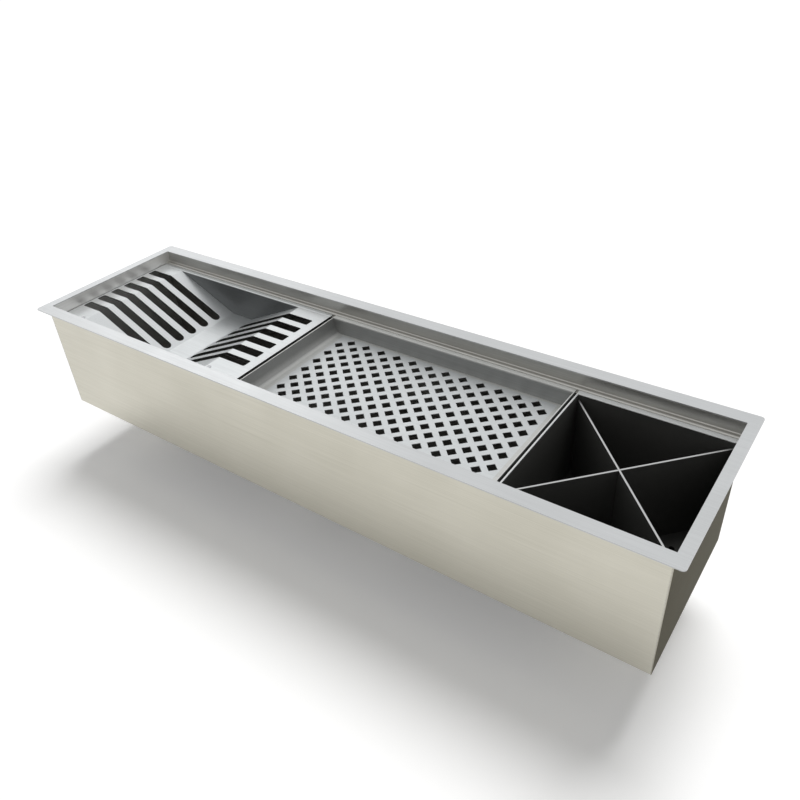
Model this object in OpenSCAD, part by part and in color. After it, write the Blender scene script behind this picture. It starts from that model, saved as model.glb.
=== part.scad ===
// Recessed wet trough: a long narrow sink channel let into a worktop, with a lift-out plate rack,
// glass tray and cutlery box hung side by side on two runners, over a floor with a basket strainer waste.
// X runs along the trough, the front faces -Y, and Z is 0 on the worktop that the rim lies on.

/* [Trough] */
// Length of the rim
rim_len = 860; // [780:5:1100]
// Depth of the rim, front to rear
rim_dep = 232; // [205:1:320]
// Thickness of the rim plate
rim_t = 1.5; // [1:0.1:3]
// Depth of the rebate in the rim's underside that the walls' top edges are welded into
rim_rebate = 0.3; // [0.1:0.05:0.6]
// Radius of the rim's outer corners
rim_corner_r = 4; // [1:0.5:10]
// Height of the body, from the underside of the rim to the underside of the floor
body_h = 150.5; // [140:0.5:220]
// Thickness of the body sheet
sheet = 1.2; // [0.8:0.1:2]
// Inner radius of the bends in the body sheet
bend_r = 1.2; // [0.6:0.1:2]
// Rim past the end plates
rim_over_end = 11; // [6:0.5:20]
// Rim past the front wall
rim_over_front = 11.2; // [6:0.2:20]
// Rim past the rear wall
rim_over_rear = 15.8; // [8:0.2:25]
// Rim past the inside of the front wall, into the opening
front_lip = 4.1; // [0:0.1:8]
// Depth of the ledge in the rear wall below the rim
ledge_drop = 14; // [6:0.5:14]
// Width of the ledge
ledge_w = 6.2; // [5:0.1:12]

/* [Runners] */
// Thickness of the runner angles
runner_t = 1.5; // [1:0.1:2.5]
// Height of the runners' upright legs
runner_leg = 12; // [6:0.5:20]
// Gap between a runner and the walls of the inserts
runner_clear = 1; // [0.5:0.1:2]

/* [Inserts] */
// Top of the inserts below the worktop
insert_drop = 15.3; // [15:0.1:25]
// Thickness of the insert sheet
insert_t = 1.2; // [0.8:0.1:2]
// Front flange of the inserts, with the wall under it
front_flange = 8; // [6:0.1:14]
// Rear flange of the inserts, with the wall under it
rear_flange = 6.7; // [6:0.1:14]
// Gap between an insert and the rim's front edge
front_clear = 1.1; // [0.5:0.1:3]
// Gap between an insert and the rear wall
rear_clear = 0.6; // [0.4:0.1:2]
// Gap between an insert and an end plate
end_clear = 1; // [0.5:0.1:3]
// Gap between the glass tray and the cutlery box
insert_gap = 3.1; // [1:0.1:6]
// Gap between the plate rack and the glass tray
rack_gap = 4.7; // [2:0.1:8]
// Inner radius of the bends between walls and flanges
flange_bend_r = 0.5; // [0.3:0.1:1.5]

/* [Plate rack] */
// Length of the plate rack
rack_len = 324.5; // [310:0.1:360]
// Level part at the rack's left end
rack_flat_left = 39.3; // [30:0.1:60]
// Level part at the rack's right end
rack_flat_right = 53.2; // [30:0.1:60]
// Slope of the rack's two sides, in degrees
rack_slope = 25; // [18:0.5:30]
// Level part at the bottom of the rack
rack_bottom = 37; // [25:1:60]
// Inner radius of the rack's bends
rack_bend_r = 3; // [1:0.5:4]
// Pairs of slots
slot_rows = 6; // [4:1:6]
// Width of a slot
slot_w = 12.6; // [6:0.1:13.5]
// First slot's middle, from the rack's front edge
slot_first = 45.7; // [42:0.1:50]
// Last slot's middle, from the rack's rear edge
slot_last = 32.4; // [20:0.1:45]
// Slots' left ends, from the rack's left edge
slot_margin_left = 3; // [2.5:0.1:20]
// Slots' right ends, from the rack's right edge
slot_margin_right = 12.7; // [3:0.1:20]
// Slots' lower ends, from the bend at the bottom
slot_margin_low = 3.8; // [3:0.1:10]
// Radius of the corners at the slots' upper ends
slot_corner_r = 2; // [0.5:0.1:2.5]
// Cheeks of the rack below its sheet
cheek_skirt = 3; // [1:0.5:6]
// Radius of the rivet heads
rivet_head_r = 3; // [2.5:0.1:4]
// Rivets, from the bends of the rack
rivet_from_bend = 5.5; // [5.2:0.1:12]
// Rivets, from the rack's front edge
rivet_from_front = 16.8; // [15:0.1:20]

/* [Glass tray] */
// Length of the glass tray
tray_len = 334.4; // [310:0.1:350]
// Depth of the tray, from its flanges to its floor
tray_depth = 21.2; // [15:0.1:40]
// Inner radius of the bend at the foot of the end walls
tray_bend_r = 10; // [3:0.5:14]
// Side of the square holes
hole_side = 8.8; // [5:0.1:9.5]
// Distance between holes in a row, along the trough
hole_pitch_x = 23.6; // [21:0.1:25]
// Distance between holes in a row, front to rear
hole_pitch_y = 21.7; // [20:0.1:22]
// Steps of half a pitch, along the trough
hole_steps_x = 24; // [12:2:24]
// Steps of half a pitch, front to rear
hole_steps_y = 14; // [8:2:14]
// Edge of the perforated plate past its outer holes
plate_margin = 9; // [7:0.1:9.5]

/* [Cutlery box] */
// Thickness of the box's side strips
box_strip = 1.8; // [1.2:0.1:3]
// Height of the box, from its flanges to its underside
box_h = 108; // [80:1:115]
// Thickness of the box's floor
box_floor_t = 1.5; // [1:0.1:3]
// Top of the divider below the flanges
divider_drop = 6; // [2:0.5:20]
// Thickness of the divider sheets
divider_t = 2; // [1:0.1:2.5]
// Gap between the divider and the box's walls
divider_clear = 0.4; // [0.2:0.1:1]
// Radius of the drain holes in the box's floor
drain_hole_r = 3; // [2:0.1:4]

/* [Waste] */
// Radius of the waste's flange
waste_flange_r = 56; // [52:0.5:62]
// Radius of the hole in the trough's floor
waste_hole_r = 45; // [44.5:0.1:48]
// Radius of the strainer cup, outside
cup_r = 43; // [40:0.5:43]
// Depth of the strainer cup
cup_h = 34; // [33:0.5:36]
// Sheet of the strainer cup
cup_t = 1.2; // [0.8:0.1:2]
// Thickness of the two seals
seal_t = 2; // [1:0.1:3]
// Wall of the waste body
waste_wall = 3; // [2:0.1:4]
// Height of the waste body above its outlet
waste_body_h = 52; // [50:0.5:60]
// Outer radius of the outlet's thread
outlet_r = 23.9; // [20:0.1:28]
// Bore of the outlet
outlet_bore_r = 20; // [16:0.1:24]
// Length of the outlet
outlet_len = 22; // [15:0.5:40]
// Radius of the centre screw
screw_r = 3; // [2.5:0.1:4]

/* [Strainer basket] */
// Radius of the basket
basket_r = 36; // [30:0.5:38]
// Height of the basket
basket_h = 19; // [12:0.5:19.5]
// Radius of the basket's knob
knob_r = 11; // [8:0.5:14]
// Radius of the basket's stem
stem_r = 3; // [2:0.1:4]

/* [Underside] */
// Thickness of the sound-deadening pads
pad_t = 3; // [1:0.5:5]
// Length of a pad
pad_len = 250; // [100:5:280]
// Depth of a pad, front to rear
pad_dep = 140; // [80:5:160]

/* [Hidden] */
$fn = 64;
eps = 0.01;
bend_steps = 5;

steel = [0.78, 0.78, 0.77];
pale_steel = [0.86, 0.86, 0.86];
black = [0.11, 0.11, 0.11];
rubber = [0.16, 0.16, 0.17];
plastic = [0.30, 0.30, 0.31];

// Outer faces of the body, and its inner faces
body_left = -rim_len / 2 + rim_over_end;
body_right = rim_len / 2 - rim_over_end;
body_front = -rim_dep / 2 + rim_over_front;
body_rear = rim_dep / 2 - rim_over_rear;
in_left = body_left + sheet;
in_right = body_right - sheet;
in_front = body_front + sheet;
in_rear_high = body_rear - sheet;
in_rear = in_rear_high - ledge_w;
floor_z = -body_h + sheet;

// Box that the inserts share
ins_front = in_front + front_lip + front_clear;
ins_rear = in_rear - rear_clear;
ins_z = -insert_drop;
ins_in_front = ins_front + front_flange;
ins_in_rear = ins_rear - rear_flange;
ins_in_dep = ins_in_rear - ins_in_front;
rack_x = in_left + end_clear;
tray_x = rack_x + rack_len + rack_gap;
box_x = tray_x + tray_len + insert_gap;
box_len = in_right - end_clear - box_x;

// Outline of the rack along X, from its left edge: the two upper bends and the two lower ones
knee_left = rack_flat_left;
knee_right = rack_len - rack_flat_right;
slope_len = (knee_right - knee_left - rack_bottom) / 2;
rack_drop = slope_len * tan(rack_slope);
foot_left = knee_left + slope_len;
foot_right = knee_right - slope_len;
rivet_xs = [knee_left - rivet_from_bend, knee_right + rivet_from_bend];
rivet_shank_r = rivet_head_r * 0.55;
rivet_lip = rivet_head_r + 1.4;
slot_pitch = (ins_rear - ins_front - slot_first - slot_last) / (slot_rows - 1);
cheek_low = ins_z - rack_drop - insert_t - cheek_skirt;

// Places of the tray's holes
tray_floor_z = ins_z - tray_depth;
tray_mid_x = tray_x + tray_len / 2;
ins_mid_y = (ins_in_front + ins_in_rear) / 2;
plate_len = hole_steps_x * hole_pitch_x / 2 + 2 * plate_margin;
plate_dep = hole_steps_y * hole_pitch_y / 2 + 2 * plate_margin;

// Inside of the cutlery box
box_in_left = box_x + box_strip;
box_in_right = box_x + box_len - box_strip;
box_in_len = box_in_right - box_in_left;
box_mid_x = (box_in_left + box_in_right) / 2;
box_floor_z = ins_z - box_h + box_floor_t;
divider_top = ins_z - divider_drop;
divider_angle = atan2(ins_in_dep, box_in_len);
// Each sheet stops where its two end corners are a clearance from the walls
divider_half = min(
    (box_in_len / 2 - divider_clear - divider_t / 2 * sin(divider_angle)) / cos(divider_angle),
    (ins_in_dep / 2 - divider_clear - divider_t / 2 * cos(divider_angle)) / sin(divider_angle));

// Middle and levels of the waste. The basket's lip rests on a step in the cup.
waste_x = 0;
waste_y = (in_front + in_rear) / 2;
cup_flange_z = floor_z + seal_t;
cup_top = cup_flange_z + cup_t;
cup_floor_z = cup_top - cup_h;
seat_drop = 7;
seat_z = cup_top - seat_drop;
basket_play = 1.2;
cup_low_r = basket_r;
cup_round = 4;
drain_ring_r = 16;
drain_r = 4.5;
waste_ring_z = -body_h - seal_t;
waste_bottom = waste_ring_z - waste_body_h;
body_in_r = waste_hole_r;
body_out_r = body_in_r + waste_wall;
cone_h = 10;
screw_head_r = screw_r + 3.5;
screw_head_h = 3;
driver_slot_w = 1.6;
driver_slot_h = 1.2;
screw_tail = 4;
insert_r = screw_r + 2.2;
insert_h = 8;
boss_r = insert_r + 2.8;
boss_gap = 6;
boss_top = cup_floor_z - cup_t - boss_gap;
boss_low = waste_bottom + waste_wall;
rib_t = 3;
rib_h = 12;
fit = 0.05;

// Levels of the strainer basket
lip_t = 1.2;
basket_t = 1;
basket_wall_r = basket_r - basket_play;
basket_top = seat_z + lip_t;
basket_floor = basket_top - basket_h;
basket_foot_r = basket_r - 8;
basket_foot_h = 6;
basket_lip_r = cup_r - cup_t - basket_play;
plug_r = 22;
plug_t = 2.5;
strain_r = 2;
foot_r = stem_r + 4;
foot_t = 1.5;
knob_h = 10;

pad_from_waste = 24;
pad_corner_r = 12;

// Direction, length and turning of the flat path that a bent sheet follows
function dir(a, b) = (b - a) / norm(b - a);
function left_of(v) = [-v[1], v[0]];
function turn(v, a) = [v[0] * cos(a) - v[1] * sin(a), v[0] * sin(a) + v[1] * cos(a)];
function side(a, b) = sign(a[0] * b[1] - a[1] * b[0]);
function angle_between(a, b) = acos(max(-1, min(1, a * b)));

// Points of one corner of a bent sheet. The path is the sheet's right-hand face, and off is 0 for that face
// or the sheet's thickness for the other one.
function corner(p0, p1, p2, r, t, off) =
    let (a = dir(p0, p1), b = dir(p1, p2), s = side(a, b), ang = angle_between(a, b))
    let (rp = s > 0 ? r + t : r, start = p1 - a * rp * tan(ang / 2))
    let (centre = start + left_of(a) * s * rp, arm = left_of(a) * -s * (rp - s * off))
    [for (i = [0:bend_steps]) centre + turn(arm, s * ang * i / bend_steps)];

// Closed outline of a sheet of thickness t, bent at each inner point of the path with the inner radius r
function bent(path, r, t) =
    let (n = len(path) - 1)
    let (first = left_of(dir(path[0], path[1])) * t, last = left_of(dir(path[n - 1], path[n])) * t)
    let (near = [for (i = [1:n - 1]) for (p = corner(path[i - 1], path[i], path[i + 1], r, t, 0)) p])
    let (far = [for (i = [1:n - 1]) for (p = corner(path[i - 1], path[i], path[i + 1], r, t, t)) p])
    concat([path[0]], near, [path[n]], [path[n] + last],
        [for (i = [len(far) - 1:-1:0]) far[i]], [path[0] + first]);

// Turns an outline drawn in Y and Z into a bar that runs along X
module along_x(x0, x1) {
    translate([x0, 0, 0]) rotate([90, 0, 90]) linear_extrude(x1 - x0) children();
}

// Turns an outline drawn in X and Z into a bar that runs along Y
module along_y(y0, y1) {
    translate([0, y1, 0]) rotate([90, 0, 0]) linear_extrude(y1 - y0) children();
}

module block(x0, x1, y0, y1, z0, z1) {
    translate([x0, y0, z0]) cube([x1 - x0, y1 - y0, z1 - z0]);
}

module rounded_square(w, d, r) {
    square([w - 2 * r, d], center = true);
    square([w, d - 2 * r], center = true);
    for (x = [-1, 1], y = [-1, 1])
        translate([x * (w / 2 - r), y * (d / 2 - r)]) circle(r);
}

// Inner faces of the body: down the rear wall, over the ledge, along the floor and up the front wall
body_path = [[in_rear_high, rim_rebate], [in_rear_high, -ledge_drop], [in_rear, -ledge_drop],
    [in_rear, floor_z], [in_front, floor_z], [in_front, rim_rebate]];

module body_section() {
    polygon(bent(body_path, bend_r, sheet));
}

// The body section with its inside filled, which is the outline of an end plate
module end_section() {
    outline = bent(body_path, bend_r, sheet);
    half = len(outline) / 2;
    polygon([for (i = [half:len(outline) - 1]) outline[i]]);
}

module rim_frame() {
    color(pale_steel) difference() {
        linear_extrude(rim_t) rounded_square(rim_len, rim_dep, rim_corner_r);
        block(in_left, in_right, in_front + front_lip, in_rear_high, -1, rim_t + 1);
        block(body_left, body_right, body_front, body_rear, -1, rim_rebate);
    }
}

module trough_wrap() {
    color(steel) difference() {
        along_x(in_left, in_right) body_section();
        translate([waste_x, waste_y, floor_z - sheet - 1]) cylinder(sheet + 2, r = waste_hole_r);
    }
}

module left_end() {
    color(steel) along_x(body_left, in_left) end_section();
}

module right_end() {
    color(steel) along_x(in_right, body_right) end_section();
}

// Angle welded to a long wall. Its level leg carries the flanges of the inserts.
module runner(wall, edge) {
    s = sign(edge - wall);
    top = ins_z - insert_t;
    along_x(in_left, in_right) polygon([[wall, top], [edge, top], [edge, top - runner_t],
        [wall + s * runner_t, top - runner_t], [wall + s * runner_t, top - runner_leg],
        [wall, top - runner_leg]]);
}

module front_runner() {
    color(steel) runner(in_front, ins_in_front - insert_t - runner_clear);
}

module rear_runner() {
    color(steel) runner(in_rear, ins_in_rear + insert_t + runner_clear);
}

// Two pads glued to the underside of the floor, one on each side of the waste
module sound_pads() {
    start = waste_flange_r + pad_from_waste;
    color(rubber) for (s = [-1, 1])
        translate([waste_x + s * (start + pad_len / 2), waste_y, -body_h - pad_t])
            linear_extrude(pad_t) rounded_square(pad_len, pad_dep, pad_corner_r);
}

module at_waste() {
    translate([waste_x, waste_y, 0]) children();
}

// Ring with a square section, from z up by h
module ring(r_in, r_out, z, h) {
    translate([0, 0, z]) difference() {
        cylinder(h, r = r_out);
        translate([0, 0, -1]) cylinder(h + 2, r = r_in);
    }
}

// Pressed cup: a flange on the floor, a step that seats the basket, and a drained bottom
module waste_cup() {
    color(pale_steel) at_waste() difference() {
        rotate_extrude() polygon([[0, cup_floor_z], [cup_low_r - cup_round / 2, cup_floor_z],
            [cup_low_r, cup_floor_z + cup_round], [cup_low_r, seat_z], [cup_r - cup_t, seat_z],
            [cup_r - cup_t, cup_top - cup_t], [cup_r, cup_top], [waste_flange_r - cup_t, cup_top],
            [waste_flange_r, cup_top - cup_t / 2], [waste_flange_r, cup_flange_z], [cup_r, cup_flange_z],
            [cup_r, seat_z - cup_t], [cup_low_r + cup_t, seat_z - cup_t],
            [cup_low_r + cup_t, cup_floor_z + cup_round], [cup_low_r - cup_t, cup_floor_z - cup_t],
            [0, cup_floor_z - cup_t]]);
        translate([0, 0, cup_floor_z - cup_t - 1]) {
            cylinder(cup_t + 2, r = screw_r + fit);
            for (a = [0:45:359])
                rotate(a) translate([drain_ring_r, 0, 0]) cylinder(cup_t + 2, r = drain_r);
        }
    }
}

module waste_top_seal() {
    color(rubber) at_waste() ring(waste_hole_r, waste_flange_r - 1, floor_z, seal_t);
}

module waste_gasket() {
    color(rubber) at_waste() ring(waste_hole_r, waste_flange_r, waste_ring_z, seal_t);
}

// Moulded funnel with a flange under the floor and a threaded outlet
module waste_body() {
    color(plastic) at_waste() {
        rotate_extrude() polygon([[body_in_r, waste_ring_z], [waste_flange_r, waste_ring_z],
            [waste_flange_r, waste_ring_z - waste_wall], [body_out_r, waste_ring_z - waste_wall],
            [body_out_r, waste_bottom + cone_h], [outlet_r + waste_wall, waste_bottom],
            [outlet_r, waste_bottom], [outlet_r, waste_bottom - outlet_len],
            [outlet_bore_r, waste_bottom - outlet_len], [outlet_bore_r, boss_low],
            [outlet_r + waste_wall, boss_low], [body_in_r, waste_bottom + cone_h + waste_wall / 2]]);
        // Bridge across the outlet with the boss that the centre screw pulls on
        translate([0, 0, boss_low]) difference() {
            union() {
                cylinder(boss_top - boss_low, r = boss_r);
                for (a = [0, 90])
                    rotate(a) block(-outlet_r, outlet_r, -rib_t / 2, rib_t / 2, 0, rib_h);
            }
            translate([0, 0, -1]) cylinder(boss_top - boss_low + 2, r = screw_r + fit);
            translate([0, 0, boss_top - boss_low - insert_h]) cylinder(insert_h + 1, r = insert_r + fit);
        }
    }
}

module waste_insert() {
    color("goldenrod") at_waste() ring(screw_r + fit, insert_r, boss_top - insert_h, insert_h);
}

// Slotted screw that clamps the cup and the body on the floor between them
module waste_screw() {
    tail = boss_top - insert_h - screw_tail;
    color(pale_steel) at_waste() {
        difference() {
            translate([0, 0, cup_floor_z]) cylinder(screw_head_h, r = screw_head_r);
            block(-driver_slot_w / 2, driver_slot_w / 2, -screw_head_r - 1, screw_head_r + 1,
                cup_floor_z + screw_head_h - driver_slot_h, cup_floor_z + screw_head_h + 1);
        }
        translate([0, 0, tail]) cylinder(cup_floor_z - tail + eps, r = screw_r);
    }
}

// Perforated cup that catches scraps. Its rolled lip lies on the step in the waste's cup.
module basket_cup() {
    color(pale_steel) at_waste() difference() {
        rotate_extrude() polygon([[stem_r + fit, basket_floor], [basket_foot_r, basket_floor],
            [basket_wall_r - basket_t, basket_floor + basket_foot_h], [basket_wall_r, seat_z],
            [basket_lip_r - lip_t / 2, seat_z],
            [basket_lip_r, seat_z + lip_t / 2], [basket_lip_r - lip_t / 2, basket_top],
            [basket_wall_r - basket_t, basket_top],
            [basket_wall_r - 2 * basket_t, basket_floor + basket_foot_h + basket_t / 2],
            [basket_foot_r - basket_t / 2, basket_floor + basket_t],
            [stem_r + fit, basket_floor + basket_t]]);
        for (a = [0:20:359])
            rotate(a) translate([(plug_r + basket_foot_r) / 2, 0, basket_floor - 1])
                cylinder(basket_t + 2, r = strain_r);
        for (a = [15:30:359])
            rotate(a) translate([basket_foot_r, 0, basket_floor + basket_h / 2]) rotate([0, 90, 0])
                cylinder(basket_lip_r - basket_foot_r, r = strain_r);
    }
}

// Rubber disc under the basket that stops the drain holes
module basket_plug() {
    color(rubber) at_waste() ring(stem_r + fit, plug_r, basket_floor - plug_t, plug_t);
}

module basket_stem() {
    low = basket_floor - plug_t;
    color(pale_steel) at_waste() {
        translate([0, 0, low - foot_t]) cylinder(foot_t, r = foot_r);
        translate([0, 0, low - eps]) cylinder(basket_h + plug_t + eps, r = stem_r);
    }
}

module basket_knob() {
    color(plastic) at_waste() translate([0, 0, basket_floor + basket_h]) rotate_extrude()
        polygon([[0, 0], [stem_r + basket_t, 0], [stem_r + basket_t, knob_h * 0.3],
            [knob_r * 0.9, knob_h * 0.5], [knob_r, knob_h * 0.65], [knob_r * 0.9, knob_h * 0.85],
            [knob_r * 0.65, knob_h * 0.95], [0, knob_h]]);
}

// Upper face of the rack seen from the front, from right to left
rack_path = [[rack_len, ins_z], [knee_right, ins_z], [foot_right, ins_z - rack_drop],
    [foot_left, ins_z - rack_drop], [knee_left, ins_z], [0, ins_z]];

// Outline of one slot seen from above: small corners at its upper end, a full round at its lower end.
// It runs from x = 0, the upper end, to x = run.
module slot(run) {
    r = slot_w / 2;
    c = slot_corner_r;
    translate([run - r, 0]) circle(r);
    translate([c, -r]) square([run - r - c, slot_w]);
    translate([0, -r + c]) square([c + eps, slot_w - 2 * c]);
    for (s = [-1, 1]) translate([c, s * (r - c)]) circle(c);
}

// One sheet, slotted while flat and bent in four places
module rack_sheet() {
    cut = 5;
    left_run = foot_left - slot_margin_low - slot_margin_left;
    right_run = rack_len - foot_right - slot_margin_low - slot_margin_right;
    color(pale_steel) translate([rack_x, 0, 0]) difference() {
        along_y(ins_in_front, ins_in_rear) polygon(bent(rack_path, rack_bend_r, insert_t));
        for (i = [0:slot_rows - 1])
            translate([0, ins_front + slot_first + i * slot_pitch, ins_z - rack_drop - cut]) {
                translate([slot_margin_left, 0, 0]) linear_extrude(rack_drop + 2 * cut) slot(left_run);
                translate([rack_len - slot_margin_right, 0, 0]) mirror([1, 0, 0])
                    linear_extrude(rack_drop + 2 * cut) slot(right_run);
            }
        for (x = rivet_xs)
            translate([x, ins_front + rivet_from_front, ins_z - insert_t - 1])
                cylinder(insert_t + 2, r = rivet_shank_r + fit);
    }
}

// Sections of a front and a rear wall of an insert, bent outwards into its flange
function front_fold(z) = [[ins_in_front, z], [ins_in_front, ins_z], [ins_front, ins_z]];
function rear_fold(z) = [[ins_rear, ins_z], [ins_in_rear, ins_z], [ins_in_rear, z]];

module folded_wall(path, len) {
    along_x(0, len) polygon(bent(path, flange_bend_r, insert_t));
}

// Outline of a cheek of the rack seen from the front. Its lower edge follows the bends of the sheet.
module cheek_outline() {
    polygon([[0, ins_z + eps], [rack_len, ins_z + eps], [rack_len, cheek_low + rack_drop],
        [knee_right, cheek_low + rack_drop], [foot_right, cheek_low], [foot_left, cheek_low],
        [knee_left, cheek_low + rack_drop], [0, cheek_low + rack_drop]]);
}

module rack_cheek(path) {
    intersection() {
        folded_wall(path, rack_len);
        along_y(ins_front - 1, ins_rear + 1) cheek_outline();
    }
}

module rack_front_cheek() {
    lip_z = ins_z - insert_t;
    color(pale_steel) translate([rack_x, 0, 0]) difference() {
        union() {
            rack_cheek(front_fold(cheek_low - 1));
            // Lips under the sheet that the rivets hold
            for (x = rivet_xs) block(x - rivet_lip, x + rivet_lip, ins_in_front - eps,
                ins_front + rivet_from_front + rivet_lip, lip_z - insert_t, lip_z);
        }
        for (x = rivet_xs) translate([x, ins_front + rivet_from_front, lip_z - insert_t - 1])
            cylinder(insert_t + 2, r = rivet_shank_r + fit);
    }
}

module rack_rear_cheek() {
    color(pale_steel) translate([rack_x, 0, 0]) rack_cheek(rear_fold(cheek_low - 1));
}

module rack_rivets() {
    head = rivet_head_r;
    grip = 2 * insert_t;
    color(steel) for (x = rivet_xs) translate([rack_x + x, ins_front + rivet_from_front, ins_z])
        rotate_extrude() polygon([[0, head * 0.4], [head * 0.45, head * 0.34], [head * 0.8, head * 0.18],
            [head, 0], [rivet_shank_r, 0], [rivet_shank_r, -grip], [head * 0.8, -grip],
            [head * 0.5, -grip - head * 0.3], [0, -grip - head * 0.3]]);
}

// Four low walls. The end walls turn into the floor with a soft bend, and the long walls into flanges.
module tray_frame() {
    path = [[tray_len - insert_t, ins_z], [tray_len - insert_t, tray_floor_z], [insert_t, tray_floor_z],
        [insert_t, ins_z]];
    color(steel) {
        difference() {
            translate([tray_x, 0, 0]) along_y(ins_in_front - eps, ins_in_rear + eps)
                polygon(bent(path, tray_bend_r, insert_t));
            translate([tray_mid_x, ins_mid_y, tray_floor_z - insert_t - 1])
                linear_extrude(insert_t + 2) square([plate_len, plate_dep], center = true);
        }
        translate([tray_x, 0, 0]) {
            folded_wall(front_fold(tray_floor_z - insert_t), tray_len);
            folded_wall(rear_fold(tray_floor_z - insert_t), tray_len);
        }
    }
}

// Rows of squares turned 45 degrees, each row set half a pitch along from the last. The first row starts
// half a pitch in, so that the plate's corners stay whole.
module tray_holes() {
    for (i = [0:hole_steps_x], j = [0:hole_steps_y])
        if ((i + j) % 2 == 1)
            translate([(i - hole_steps_x / 2) * hole_pitch_x / 2, (j - hole_steps_y / 2) * hole_pitch_y / 2])
                rotate(45) square(hole_side, center = true);
}

module tray_floor() {
    color(pale_steel) translate([tray_mid_x, ins_mid_y, tray_floor_z - insert_t])
        linear_extrude(insert_t) difference() {
            square([plate_len, plate_dep], center = true);
            tray_holes();
        }
}

module box_rim() {
    color(pale_steel) difference() {
        block(box_x, box_x + box_len, ins_front, ins_rear, ins_z - insert_t, ins_z);
        block(box_in_left, box_in_right, ins_in_front, ins_in_rear, ins_z - insert_t - 1, ins_z + 1);
    }
}

module box_walls() {
    low = ins_z - box_h;
    color(black) difference() {
        block(box_x, box_x + box_len, ins_in_front - insert_t, ins_in_rear + insert_t,
            low, ins_z - insert_t);
        block(box_in_left, box_in_right, ins_in_front, ins_in_rear, low - 1, ins_z);
    }
}

// Floor set inside the walls, with rows of drain holes
module box_floor() {
    rows = [-2:2];
    step_x = box_in_len / 6;
    step_y = ins_in_dep / 6;
    color(black) difference() {
        block(box_in_left, box_in_right, ins_in_front, ins_in_rear, ins_z - box_h, box_floor_z);
        // No hole lies under the divider
        for (i = rows, j = rows) if (abs(i) != abs(j))
            translate([box_mid_x + i * step_x, ins_mid_y + j * step_y, ins_z - box_h - 1])
                cylinder(box_floor_t + 2, r = drain_hole_r);
    }
}

// One sheet of the divider, standing on the box's floor and turned from corner to corner
module divider_sheet(angle, t, z0, z1) {
    translate([box_mid_x, ins_mid_y, z0]) rotate(angle)
        translate([-divider_half, -t / 2, 0]) cube([2 * divider_half, t, z1 - z0]);
}

divider_mid = (box_floor_z + divider_top) / 2;

// The two sheets are slotted to half their height and pushed together
module divider_left() {
    color(black) difference() {
        divider_sheet(divider_angle, divider_t, box_floor_z, divider_top);
        divider_sheet(-divider_angle, divider_t + 2 * fit, divider_mid - fit, divider_top + 1);
    }
}

module divider_right() {
    color(black) difference() {
        divider_sheet(-divider_angle, divider_t, box_floor_z, divider_top);
        divider_sheet(divider_angle, divider_t + 2 * fit, box_floor_z - 1, divider_mid + fit);
    }
}

rim_frame();
trough_wrap();
left_end();
right_end();
front_runner();
rear_runner();
sound_pads();
waste_cup();
waste_top_seal();
waste_gasket();
waste_body();
waste_screw();
waste_insert();
basket_cup();
basket_plug();
basket_stem();
basket_knob();
rack_sheet();
rack_front_cheek();
rack_rear_cheek();
rack_rivets();
tray_frame();
tray_floor();
box_rim();
box_walls();
box_floor();
divider_left();
divider_right();
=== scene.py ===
import math

import bmesh
import bpy
from mathutils import Matrix, Vector


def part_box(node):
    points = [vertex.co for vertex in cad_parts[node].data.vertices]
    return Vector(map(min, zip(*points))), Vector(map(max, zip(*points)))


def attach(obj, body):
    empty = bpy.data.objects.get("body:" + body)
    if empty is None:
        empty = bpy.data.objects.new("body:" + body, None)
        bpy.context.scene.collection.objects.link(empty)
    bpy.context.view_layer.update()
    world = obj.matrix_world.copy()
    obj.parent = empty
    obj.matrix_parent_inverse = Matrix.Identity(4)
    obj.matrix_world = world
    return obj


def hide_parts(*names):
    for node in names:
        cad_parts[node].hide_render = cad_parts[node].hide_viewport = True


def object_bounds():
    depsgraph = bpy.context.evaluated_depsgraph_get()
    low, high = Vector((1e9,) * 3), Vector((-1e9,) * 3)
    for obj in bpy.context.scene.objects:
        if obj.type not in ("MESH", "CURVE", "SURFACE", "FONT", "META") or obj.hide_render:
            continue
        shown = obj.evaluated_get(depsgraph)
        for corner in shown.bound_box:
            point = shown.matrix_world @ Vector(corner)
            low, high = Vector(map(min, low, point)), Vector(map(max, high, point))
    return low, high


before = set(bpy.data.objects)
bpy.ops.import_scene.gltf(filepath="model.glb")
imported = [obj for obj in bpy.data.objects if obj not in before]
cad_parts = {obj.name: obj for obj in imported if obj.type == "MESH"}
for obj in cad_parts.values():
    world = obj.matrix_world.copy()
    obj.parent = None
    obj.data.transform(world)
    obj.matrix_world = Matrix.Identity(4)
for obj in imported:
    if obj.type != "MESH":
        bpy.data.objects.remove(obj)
cad_box = [list(corner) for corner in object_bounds()]


# Trough body
# One 1.2 mm sheet of stainless steel, folded into the front wall, the floor and the stepped rear wall, with a
# plate welded to each end and ground flush. The mill brushes the sheet along its length.


def linear_colour(hex_code):
    """Turns an sRGB colour such as "C8C5B9" into the linear colour that a shader takes."""
    parts = [int(hex_code[i:i + 2], 16) / 255 for i in (0, 2, 4)]
    return [p / 12.92 if p <= 0.04045 else ((p + 0.055) / 1.055) ** 2.4 for p in parts] + [1.0]


def add_node(tree, kind, sockets=None, **settings):
    """Adds a node. sockets gives its inputs by name, or by number where several share a name: a Mix node has
    its amount at 0, its numbers at 2 and 3 and its colours at 6 and 7, and its mixed colour comes out at 2.
    Each is a value, the output that feeds it, or a node whose first output does."""
    node = tree.nodes.new(kind)
    for key, value in settings.items():
        setattr(node, key, value)
    for key, value in (sockets or {}).items():
        if isinstance(value, bpy.types.Node):
            value = value.outputs[0]
        if isinstance(value, bpy.types.NodeSocket):
            tree.links.new(value, node.inputs[key])
        else:
            node.inputs[key].default_value = value
    return node


def new_material(name):
    """Starts a material with an empty node tree."""
    material = bpy.data.materials.new(name)
    material.use_nodes = True
    material.node_tree.nodes.clear()
    return material, material.node_tree


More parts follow.
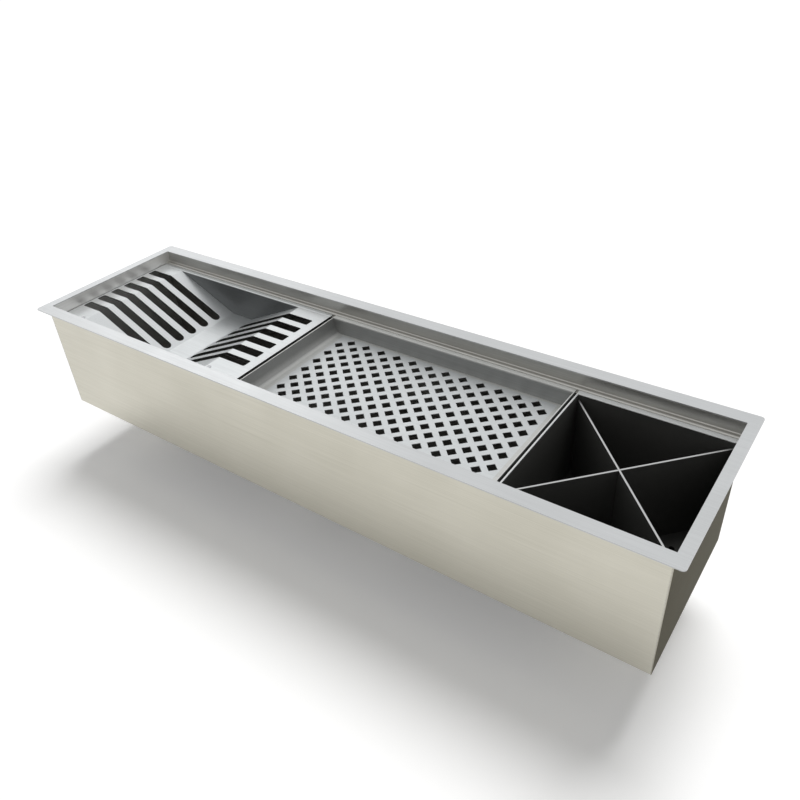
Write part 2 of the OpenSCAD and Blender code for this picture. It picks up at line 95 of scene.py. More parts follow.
def brushed_stainless(name, dark, light, line_mm, rough, relief, upright=None, glancing="FFFFFF"):
    """Stainless steel with a No. 4 brushed finish: fine lines in two close tones, dark and light. line_mm is
    the length of a line along X, Y and Z, rough the middle of the roughness, and relief the strength of the
    lines' bump. upright is painted shade that darkens the upright faces: the share of their brightness
    that they keep, and how level a face is, from 0 to 1, where it starts to rise and where it is whole.
    glancing is painted shade too: a tint that darkens what the steel mirrors at a glancing angle."""
    material, tree = new_material(name)
    place = add_node(tree, "ShaderNodeTexCoord").outputs["Object"]
    # Brushed lines are about 0.1 mm wide. They are drawn 1 mm wide so that they show.
    lines_per_metre = [1000 / length for length in line_mm]
    lines = add_node(tree, "ShaderNodeVectorMath", {0: place, 1: lines_per_metre}, operation="MULTIPLY")
    grain = add_node(tree, "ShaderNodeTexNoise",
                     {"Vector": lines, "Scale": 1.0, "Detail": 4.0, "Roughness": 0.65})
    # Rolling leaves broad, faint clouds about 90 mm across
    clouds_per_metre, cloud_share = 11.0, 0.35
    clouds = add_node(tree, "ShaderNodeTexNoise",
                      {"Vector": place, "Scale": clouds_per_metre, "Detail": 2.0, "Roughness": 0.5})
    mixed = add_node(tree, "ShaderNodeMix", {0: cloud_share, 2: grain, 3: clouds}, data_type="FLOAT")
    # Nearly all of the noise lies between these two values
    least, most = 0.3, 0.7
    tone = add_node(tree, "ShaderNodeMapRange", {"Value": mixed, "From Min": least, "From Max": most})
    colour = add_node(tree, "ShaderNodeMix", {0: tone, 6: linear_colour(dark), 7: linear_colour(light)},
                      data_type="RGBA").outputs[2]
    # Upright faces lose brightness here by how far they turn from level, a painted shade
    if upright:
        upright_share, rises_from, whole_from = upright
        normal = add_node(tree, "ShaderNodeNewGeometry").outputs["Normal"]
        facing = add_node(tree, "ShaderNodeSeparateXYZ", {0: normal})
        level = add_node(tree, "ShaderNodeMath", {0: facing.outputs["Z"]}, operation="ABSOLUTE")
        kept = add_node(tree, "ShaderNodeMapRange",
                        {"Value": level, "From Min": rises_from, "From Max": whole_from,
                         "To Min": upright_share, "To Max": 1.0})
        colour = add_node(tree, "ShaderNodeMix", {0: kept, 6: linear_colour("000000"), 7: colour},
                          data_type="RGBA").outputs[2]
    rough_swing, line_depth = 0.05, 0.00005
    gloss = add_node(tree, "ShaderNodeMapRange",
                     {"Value": mixed, "From Min": least, "From Max": most,
                      "To Min": rough + rough_swing, "To Max": rough - rough_swing})
    bump = add_node(tree, "ShaderNodeBump", {"Strength": relief, "Distance": line_depth, "Height": grain})
    # The Specular Tint darkens what the steel mirrors at a glancing angle, a painted shade where it is not
    # white
    surface = add_node(tree, "ShaderNodeBsdfPrincipled",
                       {"Base Color": colour, "Metallic": 1.0, "Roughness": gloss, "Normal": bump,
                        "Specular Tint": linear_colour(glancing)})
    add_node(tree, "ShaderNodeOutputMaterial", {"Surface": surface})
    return material


def ease_edges(mesh, width):
    """Breaks the sharp edges of a mesh, as deburring does, and shades its curves smooth."""
    piece = bpy.data.objects.new("deburring", mesh)
    bpy.context.collection.objects.link(piece)
    bevel = piece.modifiers.new("deburr", "BEVEL")
    bevel.width = width
    bevel.segments = 2
    # The facets of bends and round corners turn less than this from one to the next, so they stay as they are
    bevel.limit_method = "ANGLE"
    bevel.angle_limit = math.radians(32)
    # The wide faces stay flat in the light, and only the broken edges and the bends turn
    flat = piece.modifiers.new("flat faces", "WEIGHTED_NORMAL")
    flat.mode = "FACE_AREA"
    flat.weight = 100
    evaluated = piece.evaluated_get(bpy.context.evaluated_depsgraph_get())
    eased = bpy.data.meshes.new_from_object(evaluated)
    bpy.data.objects.remove(piece)
    return eased


def add_piece(name, mesh, material, body):
    """Adds a finished mesh as a piece that rides on a body."""
    mesh.materials.clear()
    mesh.materials.append(material)
    piece = bpy.data.objects.new(name, mesh)
    bpy.context.collection.objects.link(piece)
    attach(piece, body)
    return piece


# A face is inside the trough where it looks towards this point over the opening, and it is the floor's where
# it also lies below this height, 20 mm above the underside
over_opening = Vector((0, 0, 0.05))
floor_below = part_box("trough_wrap")[0].z + 0.02


def deburred(node, width, material, body, inside=()):
    """Replaces a CAD node by a copy with its edges broken. inside gives the materials of the faces inside the
    trough, toned apart from the outside as painted light and shade, and then that of the floor among them."""
    shape = bmesh.new()
    shape.from_mesh(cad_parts[node].data)
    bmesh.ops.remove_doubles(shape, verts=shape.verts, dist=1e-6)
    bmesh.ops.dissolve_limit(shape, angle_limit=math.radians(0.5), verts=shape.verts, edges=shape.edges)
    for face in shape.faces:
        face.smooth = True
    plain = bpy.data.meshes.new(node)
    shape.to_mesh(plain)
    shape.free()
    piece = add_piece(node + "_deburred", ease_edges(plain, width), material, body)
    if inside:
        for finish in inside:
            piece.data.materials.append(finish)
        for face in piece.data.polygons:
            if face.normal.dot(over_opening - face.center) > 0:
                face.material_index = len(inside) if face.center.z < floor_below else 1
    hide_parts(node)


brushed_along, brushed_across = (120, 1.0, 1.0), (1.0, 120, 1.0)
body_steel = brushed_stainless("304 stainless sheet, brushed along the trough", "C1BEB1", "CFCCC0",
                               brushed_along, rough=0.33, relief=0.2)
# The ends take darker tones than the front and a dark glancing tint, a painted shade for the shade they stand
# in
end_steel = brushed_stainless("304 stainless sheet, brushed across the end", "A9A699", "B6B3A7",
                              brushed_across, rough=0.33, relief=0.2, glancing="3E3C36")
# Inside the trough the sheet takes darker tones than outside, a painted shade for the shade that falls there
inner_steel = brushed_stainless("304 stainless sheet, dull inside the trough", "9C9B97", "B2B1AD",
                                brushed_along, rough=0.38, relief=0.2)
# The inner faces of the ends take much lighter tones than the other inside faces, a painted light
inner_end_steel = brushed_stainless("304 stainless sheet, dull inside the ends", "DCDBD8", "E8E7E5",
                                    brushed_across, rough=0.5, relief=0.2)
# The floor under the inserts is much darker still, a painted shade for the little light that reaches it
floor_steel = brushed_stainless("304 stainless sheet, pickled floor", "605F5D", "6E6D6B",
                                brushed_along, rough=0.45, relief=0.2)
sheet_edge = 0.0003
deburred("trough_wrap", sheet_edge, body_steel, "trough", (inner_steel, floor_steel))
deburred("left_end", sheet_edge, end_steel, "trough", (inner_end_steel,))
deburred("right_end", sheet_edge, end_steel, "trough", (inner_end_steel,))


# Rim
# A flat frame cut from 1.5 mm stainless plate and welded to the top of the walls. It lies on the worktop, and
# its face has a finer satin finish than the walls.

# The rim's upright edge faces keep less brightness than its top, a painted shade
rim_steel = brushed_stainless("304 stainless plate, satin rim", "C0C2C3", "CDCFD0", line_mm=(90, 1.2, 1.0),
                              rough=0.34, relief=0.15, upright=(0.85, 0.45, 1.0))
rim_edge = 0.0002
deburred("rim_frame", rim_edge, rim_steel, "trough")


# Runners
# Two angles folded from 1.5 mm stainless sheet and welded to the long walls. Their level legs carry the
# flanges of the three inserts.

# The runners take the darker inside steel, a painted shade
deburred("front_runner", sheet_edge, inner_steel, "trough")
deburred("rear_runner", sheet_edge, inner_steel, "trough")


# Sound-deadening pads
# Two bitumen rubber pads, pressed with a fine pebble and glued to the underside of the floor, one on each
# side of the waste. They deaden the drumming of water on the sheet.


def coat_node(name, material):
    """Gives a CAD node that keeps its own shape its material."""
    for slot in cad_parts[name].material_slots:
        slot.material = material


def black_rubber(name, tone, pebble_mm):
    """Moulded rubber: a dull, nearly black face with a fine pebble from the mould and a little grey dust."""
    material, tree = new_material(name)
    place = add_node(tree, "ShaderNodeTexCoord").outputs["Object"]
    dust_per_metre, pebble_depth = 60.0, 0.0002
    pebbles = add_node(tree, "ShaderNodeTexVoronoi", {"Vector": place, "Scale": 1000 / pebble_mm})
    dust = add_node(tree, "ShaderNodeTexNoise", {"Vector": place, "Scale": dust_per_metre, "Detail": 5.0})
    colour = add_node(tree, "ShaderNodeMix", {0: dust, 6: linear_colour(tone), 7: linear_colour("3A3A3C")},
                      data_type="RGBA").outputs[2]
    bump = add_node(tree, "ShaderNodeBump", {"Strength": 0.4, "Distance": pebble_depth, "Height": pebbles})
    surface = add_node(tree, "ShaderNodeBsdfPrincipled",
                       {"Base Color": colour, "Roughness": 0.82, "Normal": bump, "IOR": 1.52})
    add_node(tree, "ShaderNodeOutputMaterial", {"Surface": surface})
    return material


coat_node("sound_pads", black_rubber("Bitumen rubber, pebbled", "242425", pebble_mm=2.5))


# Waste
# A pressed stainless strainer cup is drawn down on the floor by one screw in the brass thread of a moulded
# polypropylene body, with a rubber seal above the floor and one below it.


def moulded_polypropylene(name, tone):
    """Polypropylene from a spark-eroded mould: a soft sheen over a fine grain, with faint flow marks."""
    material, tree = new_material(name)
    place = add_node(tree, "ShaderNodeTexCoord").outputs["Object"]
    grains_per_metre, flows_per_metre, grain_depth = 1400.0, 25.0, 0.0001
    grain = add_node(tree, "ShaderNodeTexNoise", {"Vector": place, "Scale": grains_per_metre, "Detail": 2.0})
    flow = add_node(tree, "ShaderNodeTexNoise", {"Vector": place, "Scale": flows_per_metre, "Detail": 3.0})
    colour = add_node(tree, "ShaderNodeMix", {0: flow, 6: linear_colour(tone), 7: linear_colour("5A5A5C")},
                      data_type="RGBA").outputs[2]
    gloss = add_node(tree, "ShaderNodeMapRange", {"Value": flow, "To Min": 0.42, "To Max": 0.55})
    bump = add_node(tree, "ShaderNodeBump", {"Strength": 0.25, "Distance": grain_depth, "Height": grain})
    surface = add_node(tree, "ShaderNodeBsdfPrincipled",
                       {"Base Color": colour, "Roughness": gloss, "Normal": bump, "IOR": 1.49})
    add_node(tree, "ShaderNodeOutputMaterial", {"Surface": surface})
    return material


def turned_brass(name):
    """Free-cutting brass with the fine rings that a lathe leaves round its axis, about 0.35 mm apart."""
    material, tree = new_material(name)
    place = add_node(tree, "ShaderNodeTexCoord").outputs["Object"]
    ring_scale, ring_depth = 900.0, 0.00005
    rings = add_node(tree, "ShaderNodeTexWave", {"Vector": place, "Scale": ring_scale, "Distortion": 0.3},
                     bands_direction="Z").outputs["Fac"]
    colour = add_node(tree, "ShaderNodeMix",
                      {0: rings, 6: linear_colour("B48F45"), 7: linear_colour("D0AE66")},
                      data_type="RGBA").outputs[2]
    bump = add_node(tree, "ShaderNodeBump", {"Strength": 0.3, "Distance": ring_depth, "Height": rings})
    surface = add_node(tree, "ShaderNodeBsdfPrincipled",
                       {"Base Color": colour, "Metallic": 1.0, "Roughness": 0.28, "Normal": bump})
    add_node(tree, "ShaderNodeOutputMaterial", {"Surface": surface})
    return material


cup_steel = brushed_stainless("304 stainless, deep drawn and polished", "BFC0BF", "D6D7D6",
                              line_mm=(4, 4, 4), rough=0.22, relief=0.1)
seal_rubber = black_rubber("EPDM seal, moulded", "1F1F20", pebble_mm=0.8)
waste_plastic = moulded_polypropylene("Polypropylene, moulded", "474749")
coat_node("waste_cup", cup_steel)
coat_node("waste_screw", cup_steel)
coat_node("waste_top_seal", seal_rubber)
coat_node("waste_gasket", seal_rubber)
coat_node("waste_body", waste_plastic)
coat_node("waste_insert", turned_brass("Brass, turned"))


# Strainer basket
# A drawn stainless cup with punched holes hangs by its lip in the waste. Its stem carries a moulded knob
# above and a rubber plug below.

coat_node("basket_cup", cup_steel)
coat_node("basket_stem", cup_steel)
coat_node("basket_plug", seal_rubber)
coat_node("basket_knob", waste_plastic)


# Plate rack
# One stainless sheet is slotted flat and bent four times, and closed by a cheek at the front and the rear.
# The cheeks turn outwards into the flanges that rest on the runners.

satin_along = (60, 1.0, 1.0)
# The rack's slopes and cheeks keep less brightness as they turn upright, a painted shade
rack_steel = brushed_stainless("304 stainless sheet, satin plate rack", "CBCECF", "D7DADB", satin_along,
                               rough=0.43, relief=0.15, upright=(0.2, 0.45, 0.9))
insert_edge = 0.00025
deburred("rack_sheet", insert_edge, rack_steel, "plate_rack")
deburred("rack_front_cheek", insert_edge, rack_steel, "plate_rack")
deburred("rack_rear_cheek", insert_edge, rack_steel, "plate_rack")


# Rivets of the plate rack
# Two blind rivets with domed stainless heads join the sheet to lips of the front cheek. The drawn mandrel
# leaves a small pit in the middle of each head.


def node_group(name, inputs):
    """Starts a Geometry Nodes tree with the named inputs, each given by its socket type."""
    tree = bpy.data.node_groups.new(name, "GeometryNodeTree")
    for label, kind in inputs.items():
        tree.interface.new_socket(label, in_out="INPUT", socket_type="NodeSocket" + kind)
    tree.interface.new_socket("Geometry", in_out="OUTPUT", socket_type="NodeSocketGeometry")
    return tree, tree.nodes.new("NodeGroupInput").outputs


def mesh_from_group(tree, values):
    """Runs a Geometry Nodes tree with these values for its named inputs and returns a plain mesh."""
    holder = bpy.data.objects.new("holder", bpy.data.meshes.new("holder"))
    bpy.context.collection.objects.link(holder)
    modifier = holder.modifiers.new("tree", "NODES")
    modifier.node_group = tree
    for item in tree.interface.items_tree:
        if item.in_out == "INPUT":
            modifier[item.identifier] = values[item.name]
    evaluated = holder.evaluated_get(bpy.context.evaluated_depsgraph_get())
    mesh = bpy.data.meshes.new_from_object(evaluated)
    holder.modifiers.clear()
    bpy.data.objects.remove(holder)
    return mesh


def blind_rivets():
    """Rivet heads on a line. A head is a ball of radius 1 with a pit in its top, and each point of the line
    takes a copy of it, pressed flat to the head's own radius and height."""
    tree, given = node_group("Blind rivets", {
        "First": "Vector", "Last": "Vector", "Count": "Int", "Head radius": "Float", "Head height": "Float",
        "Material": "Material"})
    row = add_node(tree, "GeometryNodeMeshLine",
                   {"Count": given["Count"], "Start Location": given["First"], "Offset": given["Last"]},
                   mode="END_POINTS")
    ball = add_node(tree, "GeometryNodeMeshUVSphere", {"Segments": 32, "Rings": 24, "Radius": 1.0})
    at = add_node(tree, "ShaderNodeSeparateXYZ", {0: add_node(tree, "GeometryNodeInputPosition")}).outputs
    level_at = add_node(tree, "ShaderNodeCombineXYZ", {"X": at["X"], "Y": at["Y"]})
    from_axis = add_node(tree, "ShaderNodeVectorMath", {0: level_at}, operation="LENGTH").outputs["Value"]
    # The pit is level out to the first of these shares of the head's radius and rises to the dome at the
    # second. The third is its depth, as a share of the head's height.
    pit_bottom, pit_mouth, pit_depth = 0.15, 0.32, 0.5
    pit = add_node(tree, "ShaderNodeMapRange",
                   {"Value": from_axis, "From Min": pit_bottom, "From Max": pit_mouth,
                    "To Min": pit_depth, "To Max": 0.0}, interpolation_type="SMOOTHSTEP")
    on_top = add_node(tree, "ShaderNodeMath", {0: at["Z"], 1: 0.0}, operation="GREATER_THAN")
    sink = add_node(tree, "ShaderNodeMath", {0: pit, 1: on_top}, operation="MULTIPLY")
    drop = add_node(tree, "ShaderNodeMath", {0: 0.0, 1: sink}, operation="SUBTRACT")
    down = add_node(tree, "ShaderNodeCombineXYZ", {"Z": drop})
    pitted = add_node(tree, "GeometryNodeSetPosition", {"Geometry": ball, "Offset": down})
    size = add_node(tree, "ShaderNodeCombineXYZ",
                    {"X": given["Head radius"], "Y": given["Head radius"], "Z": given["Head height"]})
    heads = add_node(tree, "GeometryNodeInstanceOnPoints",
                     {"Points": row, "Instance": pitted, "Scale": size})
    real = add_node(tree, "GeometryNodeRealizeInstances", {0: heads})
    smooth = add_node(tree, "GeometryNodeSetShadeSmooth", {0: real})
    steel = add_node(tree, "GeometryNodeSetMaterial", {"Geometry": smooth, "Material": given["Material"]})
    add_node(tree, "NodeGroupOutput", {0: steel})
    return tree


rivet_low, rivet_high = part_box("rack_rivets")
head_r = (rivet_high.y - rivet_low.y) / 2
rivet_y = (rivet_high.y + rivet_low.y) / 2
rack_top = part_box("rack_sheet")[1].z
rivet_steel = brushed_stainless("Stainless wire, cold headed", "AEB0B2", "CED0D2", line_mm=(3, 3, 3),
                                rough=0.26, relief=0.1)
rivets = mesh_from_group(blind_rivets(), {
    "First": (rivet_low.x + head_r, rivet_y, rack_top), "Last": (rivet_high.x - head_r, rivet_y, rack_top),
    "Count": 2, "Head radius": head_r, "Head height": rivet_high.z - rack_top, "Material": rivet_steel})
rivet_heads = add_piece("rack_rivet_heads", rivets, rivet_steel, "plate_rack")
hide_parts("rack_rivets")


# Glass tray
# Four low walls of satin stainless sheet, the end walls turned into the floor with a soft bend, the long ones
# into flanges. A window in its floor takes the perforated plate.

# The tray's walls keep less brightness where they stand upright, a painted shade grading into the floor
tray_steel = brushed_stainless("304 stainless sheet, satin glass tray", "CBCCCA", "D7D8D6", satin_along,
                               rough=0.6, relief=0.15, upright=(0.45, 0.8, 1.0))
deburred("tray_frame", insert_edge, tray_steel, "glass_tray")


# Perforated floor of the glass tray
# A stainless plate punched with rows of square holes turned 45 degrees, each row half a pitch along from the
# last. Deburring after the punch leaves the edges of each hole rolled over a little.


def staggered_points(tree, given):
    """The middles of the holes: a grid, and the choice of every second point of it. The grid has an odd
    number of points across, so that the rows of chosen points are staggered."""
    run = add_node(tree, "ShaderNodeMath", {0: given["Half pitch along"], 1: given["Steps along"]},
                   operation="MULTIPLY")
    rise = add_node(tree, "ShaderNodeMath", {0: given["Half pitch across"], 1: given["Steps across"]},
                    operation="MULTIPLY")
    points_along = add_node(tree, "ShaderNodeMath", {0: given["Steps along"], 1: 1.0}, operation="ADD")
    points_across = add_node(tree, "ShaderNodeMath", {0: given["Steps across"], 1: 1.0}, operation="ADD")
    grid = add_node(tree, "GeometryNodeMeshGrid",
                    {"Size X": run, "Size Y": rise, "Vertices X": points_along, "Vertices Y": points_across})
    odd = add_node(tree, "ShaderNodeMath", {0: add_node(tree, "GeometryNodeInputIndex"), 1: 2.0},
                   operation="MODULO")
    second = add_node(tree, "FunctionNodeCompare", {0: odd, 1: 0.5}, operation="GREATER_THAN")
    return grid, second


def hole_wall(tree, given, hole_r, mouth_r):
    """The wall of one hole: a four-sided tube of four rings, from Z = 0 down. The end rings open out to the
    mouths, and the two others lie inside them by the rolled edge."""
    thickness = given["Thickness"]
    tube = add_node(tree, "GeometryNodeMeshCylinder",
                    {"Vertices": 4, "Side Segments": 3, "Radius": hole_r, "Depth": thickness},
                    fill_type="NONE")
    at = add_node(tree, "ShaderNodeSeparateXYZ", {0: add_node(tree, "GeometryNodeInputPosition")}).outputs
    half = add_node(tree, "ShaderNodeMath", {0: thickness, 1: 0.5}, operation="MULTIPLY")
    inner = add_node(tree, "ShaderNodeMath", {0: half, 1: given["Rolled edge"]}, operation="SUBTRACT")
    height = add_node(tree, "ShaderNodeMath", {0: at["Z"]}, operation="ABSOLUTE")
    near_end = add_node(tree, "ShaderNodeMath", {0: thickness, 1: 0.4}, operation="MULTIPLY")
    at_end = add_node(tree, "FunctionNodeCompare", {0: height, 1: near_end}, operation="GREATER_THAN")
    flare = add_node(tree, "ShaderNodeMath", {0: mouth_r, 1: hole_r}, operation="DIVIDE")
    wide = add_node(tree, "GeometryNodeSwitch", {"Switch": at_end, "False": 1.0, "True": flare},
                    input_type="FLOAT")
    level = add_node(tree, "GeometryNodeSwitch", {"Switch": at_end, "False": inner, "True": half},
                     input_type="FLOAT")
    sign = add_node(tree, "ShaderNodeMath", {0: at["Z"]}, operation="SIGN")
    step = add_node(tree, "ShaderNodeMath", {0: level, 1: sign}, operation="MULTIPLY")
    new_x = add_node(tree, "ShaderNodeMath", {0: at["X"], 1: wide}, operation="MULTIPLY")
    new_y = add_node(tree, "ShaderNodeMath", {0: at["Y"], 1: wide}, operation="MULTIPLY")
    new_z = add_node(tree, "ShaderNodeMath", {0: step, 1: half}, operation="SUBTRACT")
    new_at = add_node(tree, "ShaderNodeCombineXYZ", {"X": new_x, "Y": new_y, "Z": new_z})
    wall = add_node(tree, "GeometryNodeSetPosition", {"Geometry": tube, "Position": new_at})
    return add_node(tree, "GeometryNodeFlipFaces", {"Mesh": wall})


def perforated_plate():
    """A plate with staggered rows of square holes turned 45 degrees. Middle is that of its upper face."""
    tree, given = node_group("Perforated plate", {
        "Middle": "Vector", "Length": "Float", "Depth": "Float", "Thickness": "Float", "Hole side": "Float",
        "Half pitch along": "Float", "Half pitch across": "Float", "Steps along": "Int",
        "Steps across": "Int", "Rolled edge": "Float", "Material": "Material"})
    grid, second = staggered_points(tree, given)

    # The upper face is the plate's outline, filled round the mouths of the holes. The lower face is a copy.
    hole_r = add_node(tree, "ShaderNodeMath", {0: given["Hole side"], 1: math.sqrt(0.5)},
                      operation="MULTIPLY")
    mouth_r = add_node(tree, "ShaderNodeMath", {0: given["Rolled edge"], 1: math.sqrt(2), 2: hole_r},
                       operation="MULTIPLY_ADD")
    mouth = add_node(tree, "GeometryNodeCurvePrimitiveCircle", {"Resolution": 4, "Radius": mouth_r})
    mouths = add_node(tree, "GeometryNodeInstanceOnPoints",
                      {"Points": grid, "Selection": second, "Instance": mouth})
    edge = add_node(tree, "GeometryNodeCurvePrimitiveQuadrilateral",
                    {"Width": given["Length"], "Height": given["Depth"]})
    outline = add_node(tree, "GeometryNodeJoinGeometry")
    for part in (edge, add_node(tree, "GeometryNodeRealizeInstances", {0: mouths})):
        tree.links.new(part.outputs[0], outline.inputs[0])
    face_up = add_node(tree, "GeometryNodeFillCurve", {"Curve": outline})
    sunk = add_node(tree, "ShaderNodeMath", {0: 0.0, 1: given["Thickness"]}, operation="SUBTRACT")
    down = add_node(tree, "ShaderNodeCombineXYZ", {"Z": sunk})
    face_low = add_node(tree, "GeometryNodeTransform", {"Geometry": face_up, "Translation": down})
    face_down = add_node(tree, "GeometryNodeFlipFaces", {"Mesh": face_low})

    # Each hole takes a wall, and the plate's own edge is its outline drawn down. Welding all the parts closes
    # the plate.
    wall = hole_wall(tree, given, hole_r, mouth_r)
    walls = add_node(tree, "GeometryNodeInstanceOnPoints",
                     {"Points": grid, "Selection": second, "Instance": wall})
    edge_line = add_node(tree, "GeometryNodeCurveToMesh", {"Curve": edge})
    edge_wall = add_node(tree, "GeometryNodeExtrudeMesh", {"Mesh": edge_line, "Offset": down}, mode="EDGES")
    parts = add_node(tree, "GeometryNodeJoinGeometry")
    for part in (face_up, face_down, walls, edge_wall):
        tree.links.new(part.outputs[0], parts.inputs[0])
    real = add_node(tree, "GeometryNodeRealizeInstances", {0: parts})
    welded = add_node(tree, "GeometryNodeMergeByDistance", {"Geometry": real, "Distance": 1e-6})
    placed = add_node(tree, "GeometryNodeTransform", {"Geometry": welded, "Translation": given["Middle"]})
    steel = add_node(tree, "GeometryNodeSetMaterial", {"Geometry": placed, "Material": given["Material"]})
    add_node(tree, "NodeGroupOutput", {0: steel})
    return tree


plate_low, plate_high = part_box("tray_floor")
# The upright walls of the holes keep little brightness, a painted shade
plate_steel = brushed_stainless("304 stainless sheet, punched and satin finished", "D0D3D4", "DCDFE0",
                                satin_along, rough=0.6, relief=0.15, upright=(0.2, 0.45, 1.0))
# The holes have the side and the pitches that the CAD plate gives them
plate_mesh = mesh_from_group(perforated_plate(), {
    "Middle": ((plate_low.x + plate_high.x) / 2, (plate_low.y + plate_high.y) / 2, plate_high.z),
    "Length": plate_high.x - plate_low.x, "Depth": plate_high.y - plate_low.y,
    "Thickness": plate_high.z - plate_low.z, "Hole side": 0.0088, "Half pitch along": 0.0118,
    "Half pitch across": 0.01085, "Steps along": 24, "Steps across": 14, "Rolled edge": 0.0003,
    "Material": plate_steel})
plate_shape = bmesh.new()
plate_shape.from_mesh(plate_mesh)
bmesh.ops.recalc_face_normals(plate_shape, faces=plate_shape.faces)
plate_shape.to_mesh(plate_mesh)
plate_shape.free()
plate = add_piece("tray_perforated_floor", plate_mesh, plate_steel, "glass_tray")
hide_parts("tray_floor")


# Cutlery box
# A deep box of stainless sheet, powder coated black inside and out after its bright rim was masked. Its floor
# has drain holes.


def melted_powder(tree, place):
    """Black powder melted to an even coat. Returns the haze in it, its colour, and the bump of its fine
    orange peel."""
    peel_per_metre, haze_per_metre, peel_depth = 420.0, 14.0, 0.0001
    peel = add_node(tree, "ShaderNodeTexNoise", {"Vector": place, "Scale": peel_per_metre, "Detail": 2.0})
    haze = add_node(tree, "ShaderNodeTexNoise", {"Vector": place, "Scale": haze_per_metre, "Detail": 4.0})
    colour = add_node(tree, "ShaderNodeMix",
                      {0: haze, 6: linear_colour("454543"), 7: linear_colour("51514F")},
                      data_type="RGBA").outputs[2]
    bump = add_node(tree, "ShaderNodeBump", {"Strength": 0.2, "Distance": peel_depth, "Height": peel})
    return haze, colour, bump


def powder_coat(name):
    """Black polyester powder coat: even and slightly glossy."""
    material, tree = new_material(name)
    haze, colour, bump = melted_powder(tree, add_node(tree, "ShaderNodeTexCoord").outputs["Object"])
    gloss = add_node(tree, "ShaderNodeMapRange", {"Value": haze, "To Min": 0.38, "To Max": 0.52})
    surface = add_node(tree, "ShaderNodeBsdfPrincipled",
                       {"Base Color": colour, "Roughness": gloss, "Normal": bump, "IOR": 1.5})
    add_node(tree, "ShaderNodeOutputMaterial", {"Surface": surface})
    return material


coat_black = powder_coat("Polyester powder coat, black")
coat_node("box_walls", coat_black)
coat_node("box_floor", coat_black)
box_steel = brushed_stainless("304 stainless sheet, satin box rim", "D2D4D4", "DEE0E0", satin_along,
                              rough=0.6, relief=0.15)
deburred("box_rim", insert_edge, box_steel, "cutlery_box")


# Divider
# Two black coated stainless sheets are slotted to half their height and pushed together. Their top edges are
# ground bright after coating.


def coated_with_bright_edge(name, edge_z):
    """The box's powder coat, with bare ground steel above edge_z."""
    material, tree = new_material(name)
    place = add_node(tree, "ShaderNodeTexCoord").outputs["Object"]
    coat, bump = melted_powder(tree, place)[1:]
    height = add_node(tree, "ShaderNodeSeparateXYZ", {0: place}).outputs["Z"]
    bare = add_node(tree, "ShaderNodeMath", {0: height, 1: edge_z}, operation="GREATER_THAN")
    colour = add_node(tree, "ShaderNodeMix", {0: bare, 6: coat, 7: linear_colour("BEBFBF")},
                      data_type="RGBA").outputs[2]
    gloss = add_node(tree, "ShaderNodeMapRange", {"Value": bare, "To Min": 0.45, "To Max": 0.3})
    surface = add_node(tree, "ShaderNodeBsdfPrincipled",
                       {"Base Color": colour, "Metallic": bare, "Roughness": gloss, "Normal": bump})
    add_node(tree, "ShaderNodeOutputMaterial", {"Surface": surface})
    return material


bright_depth = 0.0004
divider_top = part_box("divider_left")[1].z
divider_finish = coated_with_bright_edge("Powder coat with a ground steel edge", divider_top - bright_depth)
deburred("divider_left", sheet_edge, divider_finish, "cutlery_divider")
deburred("divider_right", sheet_edge, divider_finish, "cutlery_divider")


# Floor, lamps and camera
# The plain white studio floor lies just under the outlet. The main light hangs high over the rear, a paler
# screen stands at the left rear, and the white room fills the rest.


def shown_rays(tree):
    """Is 1 where the camera sees a thing, straight or mirrored, and 0 where the thing lights the object."""
    ray = add_node(tree, "ShaderNodeLightPath").outputs
    mirrored = add_node(tree, "ShaderNodeMath", {0: ray["Is Glossy Ray"], 1: ray["Is Transmission Ray"]},
                        operation="MAXIMUM")
    return add_node(tree, "ShaderNodeMath", {0: ray["Is Camera Ray"], 1: mirrored}, operation="MAXIMUM")


def studio_white(name, glow):
    """Matt white, with the little light of its own that a photograph's white background needs."""
    material, tree = new_material(name)
    paint = add_node(tree, "ShaderNodeBsdfDiffuse", {"Color": linear_colour("F7F7F7")})
    lift = add_node(tree, "ShaderNodeMath", {0: shown_rays(tree), 1: glow}, operation="MULTIPLY")
    light = add_node(tree, "ShaderNodeEmission", {"Strength": lift})
    both = add_node(tree, "ShaderNodeAddShader", {0: paint, 1: light})
    add_node(tree, "ShaderNodeOutputMaterial", {"Surface": both})
    return material


floor_half_side, floor_clear, floor_glow = 12.0, 0.0005, 0.18
floor_shape = bmesh.new()
bmesh.ops.create_grid(floor_shape, x_segments=1, y_segments=1, size=floor_half_side,
                      matrix=Matrix.Translation((0, 0, cad_box[0][2] - floor_clear)))
floor_mesh = bpy.data.meshes.new("studio_floor")
floor_shape.to_mesh(floor_mesh)
floor_shape.free()
floor_mesh.materials.append(studio_white("White studio floor", floor_glow))
floor = bpy.data.objects.new("studio_floor", floor_mesh)
bpy.context.collection.objects.link(floor)

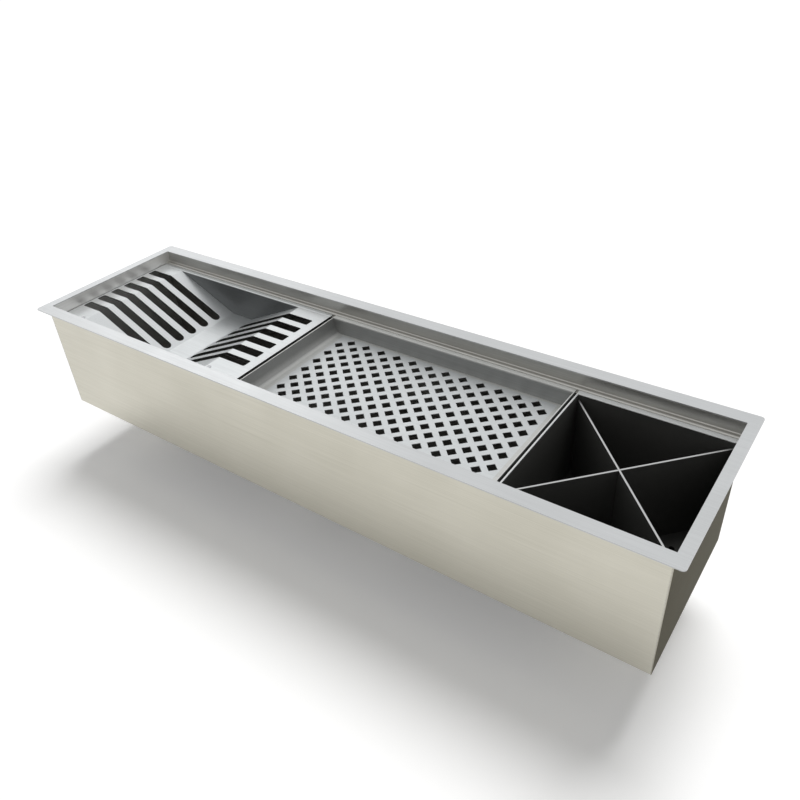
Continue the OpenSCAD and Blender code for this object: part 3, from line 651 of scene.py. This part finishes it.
# The room is white where it is seen, and lights the object at a lower level
room_shown, room_light = 1.0, 0.28
world = bpy.data.worlds.new("White room")
bpy.context.scene.world = world
world.use_nodes = True
room_tree = world.node_tree
room_tree.nodes.clear()
room_level = add_node(room_tree, "ShaderNodeMapRange",
                      {"Value": shown_rays(room_tree), "To Min": room_light, "To Max": room_shown})
room = add_node(room_tree, "ShaderNodeBackground", {"Color": linear_colour("FFFFFF"), "Strength": room_level})
add_node(room_tree, "ShaderNodeOutputWorld", {"Surface": room})


def soft_light(name, turn, height, width, level, in_steel):
    """A distant light at a turn from +X and a height above the floor, all in degrees. width is how wide it
    looks, level its light on a face square to it, and in_steel says whether steel mirrors it."""
    light = bpy.data.lights.new(name, "SUN")
    light.angle = math.radians(width)
    light.energy = level
    holder = bpy.data.objects.new(name, light)
    bpy.context.collection.objects.link(holder)
    around, up = math.radians(turn), math.radians(height)
    away = Vector((math.cos(around) * math.cos(up), math.sin(around) * math.cos(up), math.sin(up)))
    holder.matrix_world = away.to_track_quat("Z", "Y").to_matrix().to_4x4()
    holder.visible_glossy = in_steel


soft_light("Main light, high rear", turn=95, height=67, width=28, level=2.2, in_steel=False)
soft_light("Pale screen, left rear", turn=145, height=34, width=18, level=0.075, in_steel=True)

# The camera stands at the front right. Its turn from straight in front, its look down and its tilt are in
# degrees.
camera_place = (0.50339, -0.55689, 0.45455)
camera_angles = (37.40336, 34.88039, -3.82547)
camera_data = bpy.data.cameras.new("Camera")
camera_data.sensor_width = 36
camera_data.lens = 34.304
camera_data.clip_start = 0.01
camera = bpy.data.objects.new("Camera", camera_data)
bpy.context.collection.objects.link(camera)
turn_round, look_down, tilt = (math.radians(angle) for angle in camera_angles)
back = Vector((math.sin(turn_round) * math.cos(look_down), -math.cos(turn_round) * math.cos(look_down),
               math.sin(look_down)))
across = Vector((0, 0, 1)).cross(back).normalized()
upward = back.cross(across)
right = math.cos(tilt) * across + math.sin(tilt) * upward
top = math.cos(tilt) * upward - math.sin(tilt) * across
camera.matrix_world = Matrix.Translation(camera_place) @ Matrix((right, top, back)).transposed().to_4x4()
bpy.context.scene.camera = camera
bpy.context.scene.view_settings.view_transform = "Standard"
